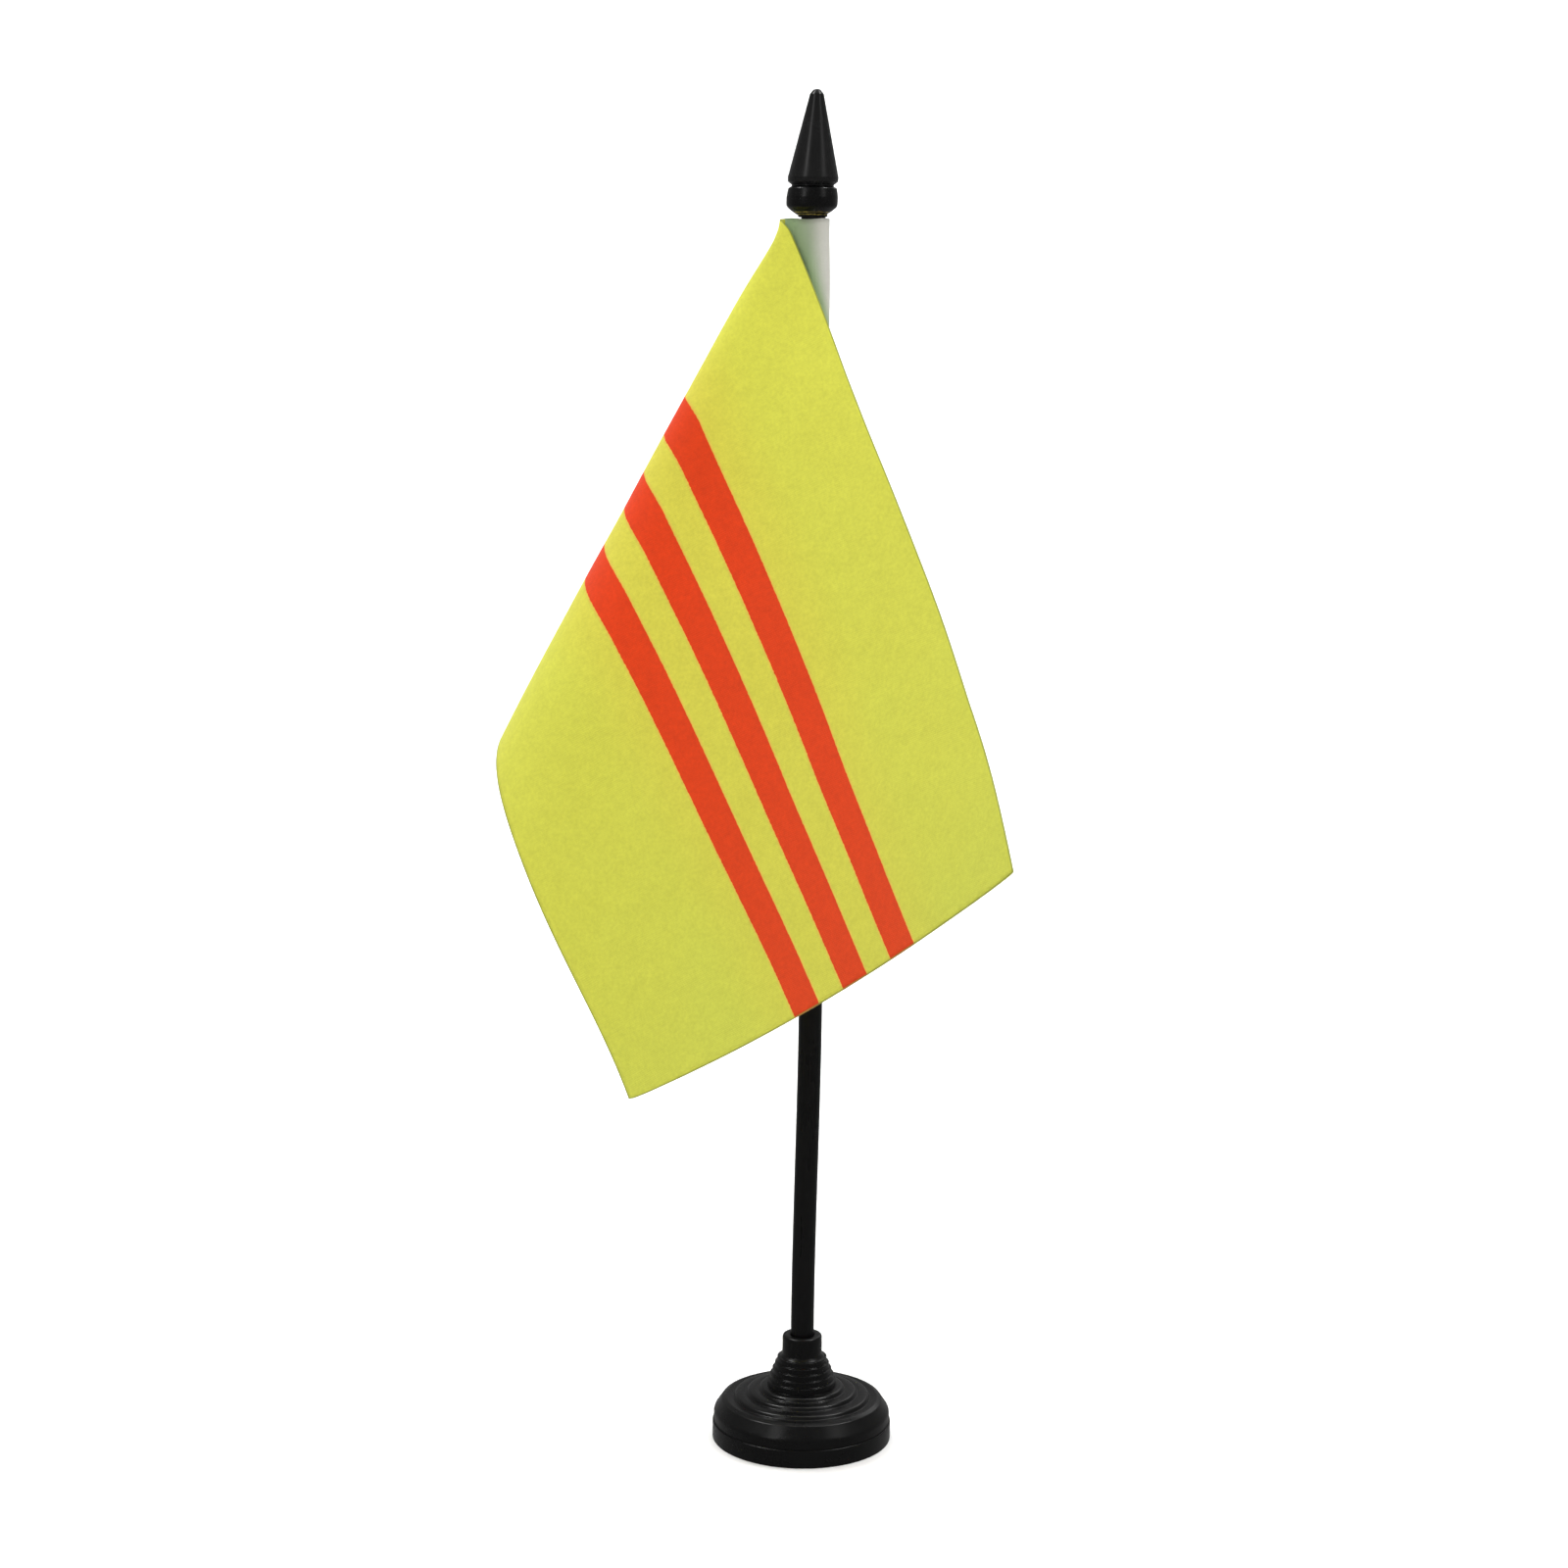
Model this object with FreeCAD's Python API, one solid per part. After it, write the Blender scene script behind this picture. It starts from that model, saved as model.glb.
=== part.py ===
import FreeCAD, Part
import math
import os

# Desk flag: a draped cloth flag on a slim push-in pole with a spear finial and a round weighted base.
# Millimetres, +Z up, origin at the middle of the base's underside. -Y is the front.

V = FreeCAD.Vector
ORIGIN = V(0, 0, 0)
UP = V(0, 0, 1)

# Driving dimensions
total_height = 286.0
fit_gap = 0.05                 # radial clearance of the push fits

# Base
base_radius = 19.3
parting_height = 3.85
parting_gap = 0.05             # shell and cover meet at a small ledge
ledge_round = 0.2
wall_radius = 19.02
wall_top = 5.6
wall_shoulder_radius = 18.75   # the wall turns into a slope here
wall_shoulder_height = 6.4
base_height = 23.0
shell_wall = 1.5
slope_radius = 17.5
slope_height = 8.25
shoulder_radius = 16.95
shoulder_height = 8.9
ring_count = 3                 # stepped rings on the dome
ring_first_radius = 14.05
ring_pitch = 2.75
ring_rise = 0.8
ring_nose = 0.4
tread_rise = 0.1               # each tread between two rings falls outwards a little
neck_steps = 5
neck_foot_radius = 7.6
neck_pitch = 0.69
neck_first_rise = 1.36
neck_rise = 1.21
neck_tread_rise = 0.05
neck_nose = 0.16
collar_radius = 4.28
collar_round = 1.2
collar_flare = 0.5
mouth_chamfer = 0.35
socket_floor = 3.6
socket_tube_radius = 4.0
socket_tube_foot = 2.4
rib_count = 6
rib_width = 1.0
rib_start_angle = 30.0
rib_foot = 5.75                # just clear of the ballast disc
rib_outer = 16.0
rib_bite = 0.4                 # how far the ribs reach into the roof they grow from
roof_middle_height = 11.0      # the shell's inner face
roof_bend_radius = 7.0
roof_bend_height = 8.9
roof_edge_height = 6.9
roof_edge_radius = 15.5
wall_inner_height = 5.5
cover_floor = 1.5
lip_gap = 0.05
lip_width = 0.8
lip_height = 5.3
foot_chamfer = 0.12

# Ballast
ballast_outer = 16.1
ballast_inner = 4.6
ballast_thickness = 4.2

# Pole
pole_radius = 2.5
pole_chamfer = 0.3
pole_foot_gap = 0.05

# Finial, heights measured down from its tip
tip_radius = 1.3
tip_round = 0.8
cone_length = 17.35
cone_radius = 5.12
cone_edge_round = 0.5
groove_depth = 18.95
groove_radius = 4.3
bead_top = 19.3
bead_bottom = 24.0
bead_radius = 5.2
bead_round = 1.3
finial_length = 25.3
finial_mouth_radius = 2.72
finial_neck_foot = 25.0          # a short cone runs from under the bead to here
mouth_lip = 0.12
finial_bore_depth = 13.5

# Sleeve: a cloth strip folded round the pole and sewn on both faces of the flag's hoist edge
flag_fly = 152.0
flag_hoist = 102.0
hoist_top = 260.0
cloth_thickness = 0.5
sleeve_thickness = 0.35
sleeve_inner_radius = 2.74
hoist_reach = 6.1              # from the pole's axis to the hoist line
tab_heading = 180.0            # the sleeve's tab points this way, from +X
tab_length = 1.8
tab_slot = 0.56
sleeve_wrap = 75.0             # half angle at which the sleeve leaves the pole's side, from the tab
hoist_turn_in = 1.2            # cloth caught between the sleeve's two layers

# The draped cloth, a developable surface. Its rulings start at an apex just above the top hoist corner.
leaving_angle = 162.4          # heading of the cloth as it leaves the sleeve's tab, from +X
back_angle = 20.5              # cloth angle from the hoist to the fold
back_curvature = 0.305
fold_radius_angle = 6.2        # angular radius of the fold's cone
fold_turn = 193.8              # how far the cloth turns round the fold
fold_easing = 0.03
run_out = 0.09                 # angle of straight cloth after the fold
apex_rise = 3.0
front_curvature = 0.01211      # per mm, bending of the front layer just past the fold
front_curvature_change = -0.00008
angle_steps = 180
ruling_stride = 4              # every so many path steps the solid has a ruling
front_step = 1.0
front_rulings = 18

# Seam thread
stitch_pitch = 3.4
stitch_length = 2.4
stitch_radius = 0.14
stitch_inset = 1.0
stitch_start = 0.65            # the lowest stitch starts this many pitches above the cloth's lower edge


def revolve(points):
    """A solid of revolution about Z from (radius, height) points joined by straight lines."""
    corners = [V(r, 0, z) for r, z in points]
    outline = Part.makePolygon(corners + corners[:1])
    return Part.Face(outline).revolve(ORIGIN, UP, 360)


def arc_points(centre, radius, start, end, count):
    """Points along an arc in the (radius, height) plane, angles in degrees."""
    made = []
    for i in range(count + 1):
        angle = math.radians(start + (end - start) * i / count)
        made.append((centre[0] + radius * math.cos(angle), centre[1] + radius * math.sin(angle)))
    return made


def stepped_top():
    """Outer line of the shell from the shoulder over the rings and up the neck to the collar's foot."""
    line = [(shoulder_radius, shoulder_height)]
    radius = ring_first_radius
    height = shoulder_height
    for ring in range(ring_count):
        line.append((radius + ring_nose, height))
        height += ring_rise
        line += arc_points((radius, height - ring_nose), ring_nose, 20, 90, 3)
        radius -= ring_pitch
        height += tread_rise
    radius = neck_foot_radius
    rise = neck_first_rise
    for step in range(neck_steps):
        line.append((radius + neck_nose, height))
        height += rise
        line += arc_points((radius, height - neck_nose), neck_nose, 20, 90, 2)
        radius -= neck_pitch
        rise = neck_rise
        height += neck_tread_rise
    line.append((collar_radius + collar_flare, height))
    line.append((collar_radius, height + collar_flare))
    return line


def roof_line(lift):
    """The inner face of the shell's roof, from the socket tube outwards, raised by lift."""
    return [
        (socket_tube_radius, roof_middle_height + lift),
        (roof_bend_radius, roof_bend_height + lift),
        (roof_edge_radius, roof_edge_height + lift),
    ]


def make_base_shell():
    bore = pole_radius + fit_gap
    foot = parting_height + parting_gap
    outer = [
        (wall_radius, foot),
        (wall_radius, wall_top),
        (wall_shoulder_radius, wall_shoulder_height),
        (slope_radius, slope_height),
    ]
    outer += stepped_top()
    outer += arc_points((collar_radius - collar_round, base_height - collar_round), collar_round, 0, 90, 4)
    outer.append((bore + mouth_chamfer, base_height))
    outer.append((bore, base_height - mouth_chamfer))
    outer.append((bore, socket_floor))
    outer.append((0, socket_floor))
    outer.append((0, socket_tube_foot))
    outer.append((socket_tube_radius, socket_tube_foot))
    outer += roof_line(0.0)
    outer.append((wall_radius - shell_wall, wall_inner_height))
    outer.append((wall_radius - shell_wall, foot))
    shell = revolve(outer)
    below = [(0, rib_foot), (rib_outer, rib_foot)] + roof_line(rib_bite)[::-1]
    under_roof = revolve(below + [(0, roof_middle_height + rib_bite)])
    ribs = []
    for i in range(rib_count):
        start = V(socket_tube_radius - rib_bite, -rib_width / 2, rib_foot)
        rib = Part.makeBox(rib_outer, rib_width, roof_middle_height - rib_foot, start)
        rib = rib.common(under_roof)
        rib.rotate(ORIGIN, UP, rib_start_angle + 360.0 * i / rib_count)
        ribs.append(rib)
    return shell.fuse(ribs).removeSplitter()


def make_base_cover():
    lip_outer = wall_radius - shell_wall - lip_gap
    return revolve([
        (0, 0),
        (base_radius - foot_chamfer, 0),
        (base_radius, foot_chamfer),
        (base_radius, parting_height - ledge_round),
        (base_radius - ledge_round, parting_height),
        (lip_outer, parting_height),
        (lip_outer, lip_height),
        (lip_outer - lip_width, lip_height),
        (lip_outer - lip_width, cover_floor),
        (0, cover_floor),
    ])


def make_ballast_disc():
    ring = Part.makeCylinder(ballast_outer, ballast_thickness, V(0, 0, cover_floor))
    hole = Part.makeCylinder(ballast_inner, ballast_thickness, V(0, 0, cover_floor))
    return ring.cut(hole)


def pole_top():
    return total_height - finial_bore_depth - fit_gap


def make_pole():
    foot = socket_floor + pole_foot_gap
    tip = pole_top()
    return revolve([
        (0, foot),
        (pole_radius - pole_chamfer, foot),
        (pole_radius, foot + pole_chamfer),
        (pole_radius, tip - pole_chamfer),
        (pole_radius - pole_chamfer, tip),
        (0, tip),
    ])


def make_finial():
    top = total_height
    bore = pole_radius + fit_gap
    foot = top - finial_length
    edge = arc_points((cone_radius - cone_edge_round, top - cone_length), cone_edge_round, 15, -70, 5)
    upper_bead = arc_points((bead_radius - bead_round, top - bead_top - bead_round), bead_round, 80, 0, 5)
    lower_bead = arc_points((bead_radius - bead_round, top - bead_bottom + bead_round), bead_round, 0, -60, 5)
    line = [(0, top)]
    line += arc_points((tip_radius - tip_round, top - tip_round), tip_round, 90, 12, 4)
    line += edge
    line.append((groove_radius, top - groove_depth))
    line += upper_bead
    line += lower_bead
    line.append((finial_mouth_radius, top - finial_neck_foot))
    line.append((finial_mouth_radius, foot))
    line.append((bore + mouth_lip, foot))
    line.append((bore, foot + mouth_lip))
    line.append((bore, top - finial_bore_depth))
    line.append((0, top - finial_bore_depth))
    return revolve(line)


def heading(angle):
    return V(math.cos(math.radians(angle)), math.sin(math.radians(angle)), 0)


def make_sleeve():
    """The sleeve's drop-shaped section: round the pole, closing to a two-layer tab beside the hoist."""
    out = heading(tab_heading)
    side = UP.cross(out)
    inner = sleeve_inner_radius
    outer = inner + sleeve_thickness
    tab_end = hoist_reach
    tab_start = tab_end - tab_length
    slot = tab_slot / 2
    skin = slot + sleeve_thickness

    def around(radius, angle):
        a = math.radians(angle)
        return out * (radius * math.cos(a)) + side * (radius * math.sin(a))

    def profile(radius, half_gap):
        start = around(radius, sleeve_wrap)
        far = around(radius, 180)
        end = around(radius, -sleeve_wrap)
        return [
            Part.LineSegment(out * tab_end + side * half_gap, out * tab_start + side * half_gap),
            Part.LineSegment(out * tab_start + side * half_gap, start),
            Part.Arc(start, far, end),
            Part.LineSegment(end, out * tab_start - side * half_gap),
            Part.LineSegment(out * tab_start - side * half_gap, out * tab_end - side * half_gap),
        ]

    outside = Part.Shape(profile(outer, skin) + [
        Part.LineSegment(out * tab_end - side * skin, out * tab_end + side * skin)])
    inside = Part.Shape(profile(inner, slot) + [
        Part.LineSegment(out * tab_end - side * slot, out * tab_end + side * slot)])
    solid = Part.Face(Part.Wire(outside.Edges)).extrude(UP * flag_hoist)
    hollow = Part.Face(Part.Wire(inside.Edges)).extrude(UP * flag_hoist)
    sleeve = solid.cut(hollow)
    sleeve.translate(UP * (hoist_top - flag_hoist))
    return sleeve


def turn_frame(ruling, along, curvature, step):
    """Carry a ruling and its cross direction one step over the unit sphere on a path of given curvature."""
    axis = ruling.cross(along) + ruling * curvature
    turn = FreeCAD.Rotation(axis, math.degrees(step * axis.Length))
    return turn.multVec(ruling), turn.multVec(along)


def fold_path():
    """Rulings of the cone from the hoist to just past the fold: (cloth angle, ruling, cross direction)."""
    radius = math.radians(fold_radius_angle)
    start = math.radians(back_angle)
    end = start + math.radians(fold_turn) * math.sin(radius)
    step = (end + run_out) / angle_steps
    ruling = V(0, 0, -1)
    along = heading(leaving_angle)
    path = [(0.0, ruling, along)]
    for i in range(angle_steps):
        angle = (i + 0.5) * step
        rise = 1 / (1 + math.exp((start - angle) / fold_easing))
        fall = 1 / (1 + math.exp((angle - end) / fold_easing))
        curvature = -rise * fall / math.tan(radius)
        if angle < start:
            curvature += back_curvature
        ruling, along = turn_frame(ruling, along, curvature, step)
        path.append(((i + 1) * step, ruling, along))
    return path


def cloth_rulings():
    """Straight lines of the cloth from hoist to fly: (upper end, lower end, normal of the cloth)."""
    tab = heading(tab_heading)
    hoist_upper = tab * hoist_reach + UP * hoist_top
    apex = hoist_upper + UP * apex_rise
    inside_tab = hoist_upper - tab * hoist_turn_in
    rulings = [(inside_tab, inside_tab - UP * flag_hoist, V(0, 0, -1).cross(tab))]
    path = fold_path()
    for i, (angle, ruling, along) in enumerate(path):
        if i % ruling_stride:
            continue
        upper = apex + ruling * (apex_rise / math.cos(angle))
        lower = apex + ruling * ((flag_hoist + apex_rise) / math.cos(angle))
        rulings.append((upper, lower, ruling.cross(along)))
    last, ruling, along = path[-1]
    normal = ruling.cross(along)
    sine, cosine = math.sin(last), math.cos(last)

    # Front layer: rulings parallel to the last one, on a gently bending cross line.
    corner_offsets = [
        flag_fly * cosine - (flag_hoist + apex_rise) * sine,
        flag_fly * cosine - apex_rise * sine,
    ]
    cross = V(0, 0, 0)
    bend = 0.0
    offset = 0.0
    stops = [corner_offsets[1] * (i + 1) / front_rulings for i in range(front_rulings - 1)]
    stops = sorted(stops + corner_offsets)
    for stop in stops:
        while offset < stop - 1e-9:
            step = min(front_step, stop - offset)
            middle = offset + step / 2
            bend = front_curvature * middle + front_curvature_change * middle * middle / 2
            cross += (along * math.cos(bend) + normal * math.sin(bend)) * step
            offset += step
        bend = front_curvature * offset + front_curvature_change * offset * offset / 2
        near = (apex_rise + offset * sine) / cosine
        far = (flag_hoist + apex_rise + offset * sine) / cosine
        if offset > corner_offsets[0]:
            far = (flag_fly - offset * cosine) / sine
        here = normal * math.cos(bend) - along * math.sin(bend)
        rulings.append((apex + cross + ruling * near, apex + cross + ruling * far, here))
    return rulings


def make_flag_cloth():
    """A closed shell of triangles on both faces of the cloth and round its cut edge."""
    half = cloth_thickness / 2
    rulings = cloth_rulings()
    ends = rulings[-1]
    rulings = rulings[:-1]
    faces = []

    def add(a, b, c):
        if (b - a).cross(c - a).Length > 1e-7:
            faces.append(Part.Face(Part.makePolygon([a, b, c, a])))

    def quad(a, b, c, d):
        add(a, b, c)
        add(a, c, d)

    def sides(ruling):
        upper, lower, normal = ruling
        return upper + normal * half, lower + normal * half, upper - normal * half, lower - normal * half

    first = sides(rulings[0])
    quad(first[0], first[1], first[3], first[2])
    for before, after in zip(rulings, rulings[1:]):
        u0, l0, v0, m0 = sides(before)
        u1, l1, v1, m1 = sides(after)
        quad(u0, l0, l1, u1)
        quad(v0, m0, m1, v1)
        quad(u0, v0, v1, u1)
        quad(l0, m0, m1, l1)
    u0, l0, v0, m0 = sides(rulings[-1])
    corner_a = ends[0] + ends[2] * half
    corner_b = ends[0] - ends[2] * half
    add(u0, l0, corner_a)
    add(v0, m0, corner_b)
    quad(u0, v0, corner_b, corner_a)
    quad(l0, m0, corner_b, corner_a)
    shell = Part.makeShell(faces)
    shell.sewShape()
    solid = Part.Solid(Part.Shell(shell.Faces))
    if solid.Volume < 0:
        solid.reverse()
    return solid


def make_seam_thread():
    """Lockstitches down the sleeve's tab, on both of its faces."""
    out = heading(tab_heading)
    side = UP.cross(out)
    lift = tab_slot / 2 + sleeve_thickness + stitch_radius
    stitches = []
    count = int((flag_hoist - stitch_pitch) / stitch_pitch)
    for i in range(count):
        low = hoist_top - flag_hoist + stitch_pitch * (i + stitch_start)
        for face in (-1, 1):
            foot = out * (hoist_reach - stitch_inset) + side * (face * lift) + UP * low
            stitches.append(Part.makeCylinder(stitch_radius, stitch_length, foot, UP))
    return Part.makeCompound(stitches)


subparts = {
    "base_cover": make_base_cover(),
    "base_shell": make_base_shell(),
    "ballast_disc": make_ballast_disc(),
    "pole": make_pole(),
    "finial": make_finial(),
    "flag_sleeve": make_sleeve(),
    "flag_cloth": make_flag_cloth(),
    "seam_thread": make_seam_thread(),
}

os.makedirs("parts", exist_ok=True)
for name, shape in subparts.items():
    shape.exportStep("parts/" + name + ".step")
    print(name, "valid", shape.isValid(), "solids", len(shape.Solids), "volume", round(shape.Volume, 1))
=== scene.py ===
import math

import bpy
import numpy as np
from mathutils import Matrix, Vector


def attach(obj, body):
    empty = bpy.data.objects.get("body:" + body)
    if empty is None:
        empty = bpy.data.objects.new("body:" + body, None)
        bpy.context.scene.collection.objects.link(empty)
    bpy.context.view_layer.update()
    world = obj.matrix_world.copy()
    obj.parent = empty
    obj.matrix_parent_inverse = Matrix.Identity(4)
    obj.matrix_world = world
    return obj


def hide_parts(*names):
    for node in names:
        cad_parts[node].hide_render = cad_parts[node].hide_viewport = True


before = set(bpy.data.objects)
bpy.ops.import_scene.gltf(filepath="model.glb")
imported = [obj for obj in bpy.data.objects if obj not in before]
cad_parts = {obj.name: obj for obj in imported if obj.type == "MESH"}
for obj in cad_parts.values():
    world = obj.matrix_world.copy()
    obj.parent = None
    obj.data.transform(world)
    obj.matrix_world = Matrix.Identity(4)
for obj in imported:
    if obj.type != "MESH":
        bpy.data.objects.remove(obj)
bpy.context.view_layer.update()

MM = 0.001

# The camera stands where the object is seen from, in millimetres of the object's own frame.
CAMERA_AT = (-5.16, -614.1, 241.8)
CAMERA_DOWN = 9.09             # degrees below the horizon
CAMERA_ROLL = 0.58
FOCAL_PIXELS = 3018.0          # for a frame 1600 pixels wide
FRAME_PIXELS = 1600.0
SENSOR_MM = 36.0

# The cloth and its drape: a developable surface whose rulings start just above the top hoist corner.
FLY = 152.0
HOIST = 102.0
HOIST_TOP = 260.0
HOIST_REACH = 6.1
TURN_IN = 1.2
CLOTH_THICKNESS = 0.24
LEAVING = 162.4
BACK_ANGLE = 20.5
BACK_CURVATURE = 0.305
FOLD_RADIUS = 6.2
FOLD_TURN = 193.8
FOLD_EASING = 0.03
RUN_OUT = 0.09
APEX_RISE = 3.0
FRONT_CURVATURE = 0.01211
FRONT_CHANGE = -0.00008
FRONT_STATIONS = 609             # four for each millimetre of the fly

# The print: three stripes and the two gaps between them, all alike, across the middle of the cloth.
PRINT_CENTRE = 100.0             # along the fly, where the next three are measured
PRINT_MIDDLE = 48.15
PRINT_HALF = 16.68
PRINT_SKEW = -0.0274
PRINT_TAPER = -0.0253
PRINT_BEND_START = 105.0         # beyond this the stripes run up towards the upper edge
PRINT_BEND = -0.00132
PRINT_SPREAD = 0.0004
PRINT_FOLD_DROP = 2.4            # and at the fold they lie a little lower,
PRINT_FOLD_ANGLES = (0.50, 0.76) # between these angles about the rulings' apex
STRIPE_CENTRE = 0.8              # the outer stripes' middle, as a share of the print's half width
STRIPE_EDGE = 0.2                # and every stripe's half width
STRIPE_BLUR = 0.004
STRIPE_HALO_END = 0.235          # the yellow beside a stripe is orange up to here

# The weave's threads, in millimetres, and the span of the height that weave_height gives
FLAG_THREAD_PITCH = 0.24
SLEEVE_THREAD_PITCH = 0.28
WEAVE_SPAN = (0.2, 1.9)

# Sleeve
SLEEVE_INNER = 2.76
SLEEVE_THICKNESS = 0.32
TAB_LENGTH = 1.8
TAB_SLOT = 0.56
TAB_HEADING = 180.0
TAB_EASE = 6.0                   # along the strip, where the tab has turned into the round part
SLEEVE_WRAP = 75.0               # degrees from the tab's direction, where the round part starts
SLEEVE_ARC_STEPS = 42
SLEEVE_SPACING = 0.25
SLEEVE_SMOOTHINGS = 6
SLEEVE_ROWS = 86
TOP_CUT_UNEVEN = 0.12            # the sleeve's top is cut a little unevenly
STITCH_PITCH = 3.4
STITCH_LENGTH = 2.4
STITCH_RADIUS = 0.14
STITCH_INSET = 1.0
STITCH_FIRST = 0.65              # share of a pitch below the first stitch
STITCH_LEAN = 0.05
# Painted shade on the sleeve: a green-grey painted shadow and reflection beside the yellow cloth's edge
PAINTED_SHADE_SLOPE = 0.405              # the painted shadow's edge moves this far sideways for each millimetre down
PAINTED_SHADE_START = 5.6
PAINTED_SHADE_WIDTH = 7.4
PAINTED_SHADE_NARROWEST = 1.6
PAINTED_SHADE_TAPER_END = 19.0           # these three are distances below the sleeve's top
PAINTED_SHADE_FADE_START = 22.0
PAINTED_SHADE_FADE_END = 34.0

# The top edge just past the fold stands out by this much, over this stretch of the fly and this far down.
TOP_EDGE_OUT = (1.1, -0.5, 0.0)
TOP_EDGE_START = 0.8
TOP_EDGE_FULL = 5.0
TOP_EDGE_END = 40.0
TOP_EDGE_DEPTH = 12.0

# The free edges are cut a little full, and the cloth is drawn in near its upper fold.
FLY_EDGE_BOW = 1.1
FLY_BOW_FULLNESS = 0.4
LOWER_EDGE_BOW = 1.5
LOWER_BOW_START = 72.0
UPPER_EDGE_IN = 0.5
UPPER_EDGE_OUT = 0.55
UPPER_EDGE_TURN = 0.76           # share of the fly where the upper edge turns from slack to full
TOP_DRAWN_IN = 0.85
TOP_DRAWN_NEAR = 22.0
TOP_DRAWN_FAR = 55.0
TOP_LIFT = 0.35                  # the seam is pushed up this much at the pole's top
TOP_LIFT_REACH = 16.0

# The rod is very slightly bowed between the base and the cloth, and the finial sits a little askew on it.
ROD_BOW = 0.95
ROD_BOW_FOOT = 24.0
ROD_BOW_MIDDLE = 98.0
ROD_BOW_TOP = 156.0
ROD_TIP_LEAN = -0.35
ROD_TIP_LEAN_START = 235.0
FINIAL_LEAN = 2.0
FINIAL_SHIFT = -0.76

# Base: the CAD's sizes, except that the parting gap is tighter, the shoulder and the dome's rings are softer,
# and the neck's lowest ring is narrower and its top ring wider, by less than 0.5 mm.
BASE_RADIUS = 19.3
PARTING = 3.85
PARTING_GAP = 0.012
WALL_RADIUS = 19.02
SHELL_WALL = 1.5
BASE_HEIGHT = 23.0
SHOULDER_HEIGHT = 8.9
SHOULDER_CORNERS = ((19.05, 6.05, 1.6), (17.35, 8.55, 0.45), (16.35, 8.98, 0.9))    # radius, height, fillet
FOOT_FILLET = 0.12
LEDGE_FILLET = 0.22              # the cover's edge at the parting line
WALL_FOOT_FILLET = 0.08          # the shell's edge at the parting line

# Three soft rings on the dome. A ring's riser starts further out than the ring's radius and leans in.
RING_COUNT = 3
RING_RADIUS = 14.05
RING_PITCH = 2.75
RING_RISE = 0.8
TREAD_RISE = 0.1
RISER_FOOT_OUT = 0.72
RISER_FOOT_DROP = 0.05
RISER_FOOT_FILLET = 0.3
RING_NOSE_OUT = 0.32
RING_NOSE_DROP = 0.02
RING_NOSE_FILLET = 1.25
TREAD_END_OUT = 1.75
TREAD_END_LIFT = 0.02
TREAD_END_FILLET = 3.0

# Five crisp rings on the neck, and the collar above them
NECK_STEPS = 5
NECK_RADIUS = 7.25
NECK_PITCH = 0.52
NECK_FIRST_RISE = 1.36
NECK_RISE = 1.23
NECK_TREAD_RISE = 0.05
NECK_ROOT_FILLET = 0.5
NECK_FOOT_OUT = 0.20
NECK_FOOT_FILLET = 0.12
NECK_NOSE_OUT = 0.18
NECK_NOSE_FILLET = 0.13
COLLAR_RADIUS = 4.28
COLLAR_TAPER = 0.02
COLLAR_FLARE = 0.5
COLLAR_FLARE_HEIGHT = 0.55
COLLAR_FLARE_FILLET = 0.4
COLLAR_TOP_FILLET = 1.15

# Inside the base, as in the CAD: the cover's lip, the socket's boss, the roof and the ribs (radius, height)
COVER_FIT = 0.05
COVER_LIP_WALL = 0.8
COVER_LIP_TOP = 5.3
COVER_FLOOR = 1.5
COVER_FLOOR_FILLET = 0.3
SOCKET_CHAMFER = 0.35
SOCKET_FILLET = 0.1
BOSS_RADIUS = 4.0
BOSS_FOOT = 2.4
ROOF_UNDERSIDE = ((4.0, 11.0), (7.0, 8.9), (15.5, 6.9))
ROOF_FILLET = 0.3
WALL_INNER_TOP = 5.5
INNER_EDGE_FILLET = 0.2
EDGE_FILLET = 0.15
FINE_FILLET = 0.05
RIB_COUNT = 6
RIB_START_ANGLE = 30.0
RIB_HALF_THICKNESS = 0.5
RIB_OUTLINE = ((3.7, 5.75), (16.0, 5.75), (15.5, 7.3), (7.0, 9.3), (3.7, 11.4))

# Pole and finial; the socket's radius holds for the base and the finial
SOCKET_RADIUS = 2.55
SOCKET_FLOOR = 3.6
SPEAR_FOOT_WALL = 0.1
SPEAR_FOOT_CHAMFER = 0.12
POLE_RADIUS = 2.5
POLE_END_FILLET = 0.3
POLE_FOOT = 3.65
TOTAL_HEIGHT = 286.0
FINIAL_BORE = 13.5
FINIAL_LENGTH = 25.3
TIP_CROWN = 0.3                  # the tip stands this much higher than the CAD's
BEAD_SHADE_START = 18.4                # below the tip, where the bead starts to be painted darker as painted shade
BEAD_SHADE_FULL = 19.2
GOLD_LINES = (24.35, 24.8)       # below the tip, on the lip under the bead
ROD_END_GAP = 0.05
ROD_STEPS = 90

# The spear from the tip down: radius, distance below the tip, fillet
SPEAR_OUTSIDE = (
    (0.75, -0.12, 0.5),
    (1.42, 0.75, 0.6),
    (5.2, 17.35, 0.45),              # the cone's widest ring
    (5.12, 18.2, 0.3),
    (4.3, 18.85, 0.25),              # the groove
    (4.3, 19.1, 0.2),
    (4.98, 19.5, 0.5),               # the bead
    (5.28, 21.3, 1.2),
    (5.24, 23.15, 1.1),
    (4.25, 24.0, 0.4),               # the lip
    (2.74, 25.0, 0.12),
    (2.7, FINIAL_LENGTH, 0.03),
)


def new_object(name, vertices, faces, smooth=True):
    mesh = bpy.data.meshes.new(name)
    mesh.from_pydata([tuple(v) for v in vertices], [], faces)
    mesh.validate()
    mesh.update()
    for polygon in mesh.polygons:
        polygon.use_smooth = smooth
    made = bpy.data.objects.new(name, mesh)
    bpy.context.scene.collection.objects.link(made)
    return made


# ---------------------------------------------------------------- material helpers

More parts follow.
